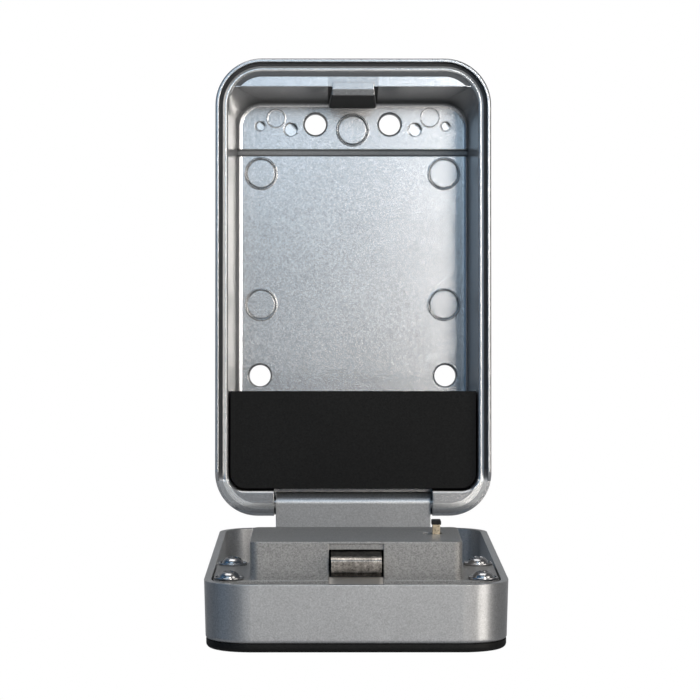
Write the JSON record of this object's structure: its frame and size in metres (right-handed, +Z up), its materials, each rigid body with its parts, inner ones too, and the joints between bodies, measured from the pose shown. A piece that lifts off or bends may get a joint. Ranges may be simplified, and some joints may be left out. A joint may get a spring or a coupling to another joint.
{
  "type": "wall key box",
  "caption": "Wall-mounted key box: cast case with a fold-down door that carries a dial lock, a sprung latch and a release button; black key pocket inside.",
  "frame": {"origin": "centre of the case's flat wall face", "axes": "+X to the right seen from the front, +Y into the wall, +Z up"},
  "size_m": [0.065, 0.1281, 0.1322],
  "materials": {
    "silver_cast": "satin silver lacquer with fine metallic grain",
    "black_moulding": "matt",
    "steel_bright": "bright zinc plated",
    "housing_grey": "satin grey lacquer",
    "dial_black": "satin",
    "brass_plain": "plain",
    "spring_steel": "plain",
    "latch_steel": "blasted"
  },
  "bodies": {
    "root": {"case": "silver_cast", "hinge_pin": "steel_bright", "key_pocket": "black_moulding"},
    "door": {"door_shell": "silver_cast", "front_plate": "black_moulding", "cover_screws": "steel_bright", "lock_housing": "housing_grey", "housing_screws": "steel_bright", "dial_axle": "steel_bright", "detent_spring": "spring_steel", "latch_springs": "spring_steel"},
    "latch": {"latch_slide": "latch_steel", "release_button": "black_moulding", "button_screw": "steel_bright"},
    "lever": {"reset_lever": "brass_plain", "reset_lever_cap": "black_moulding"},
    "dial_1": {"dial_1": "dial_black", "cam_1": "brass_plain"},
    "dial_2": {"dial_2": "dial_black", "cam_2": "brass_plain"},
    "dial_3": {"dial_3": "dial_black", "cam_3": "brass_plain"},
    "dial_4": {"dial_4": "dial_black", "cam_4": "brass_plain"}
  },
  "joints": [
    {"name": "door_hinge", "type": "hinge", "parent": "root", "child": "door", "pos_m": [0, -0.025, -0.0509], "axis": [1, 0, 0], "range_deg": [-94, 0]},
    {"name": "latch_slide", "type": "slide", "parent": "door", "child": "latch", "axis": [0, 0.9976, 0.0698], "range_m": [0, 0.0023], "stiffness_N_per_m": 400, "springref_m": -0.004, "deforming": ["latch_springs"]},
    {"name": "reset_lever", "type": "slide", "parent": "door", "child": "lever", "axis": [-1, 0, 0], "range_m": [0, 0.0016]},
    {"name": "dial_1", "type": "hinge", "parent": "door", "child": "dial_1", "pos_m": [-0.0114, -0.10313, -0.06679], "axis": [1, 0, 0], "continuous": true},
    {"name": "dial_2", "type": "hinge", "parent": "door", "child": "dial_2", "pos_m": [-0.0038, -0.10313, -0.06679], "axis": [1, 0, 0], "continuous": true},
    {"name": "dial_3", "type": "hinge", "parent": "door", "child": "dial_3", "pos_m": [0.0038, -0.10313, -0.06679], "axis": [1, 0, 0], "continuous": true},
    {"name": "dial_4", "type": "hinge", "parent": "door", "child": "dial_4", "pos_m": [0.0114, -0.10313, -0.06679], "axis": [1, 0, 0], "continuous": true}
  ]
}
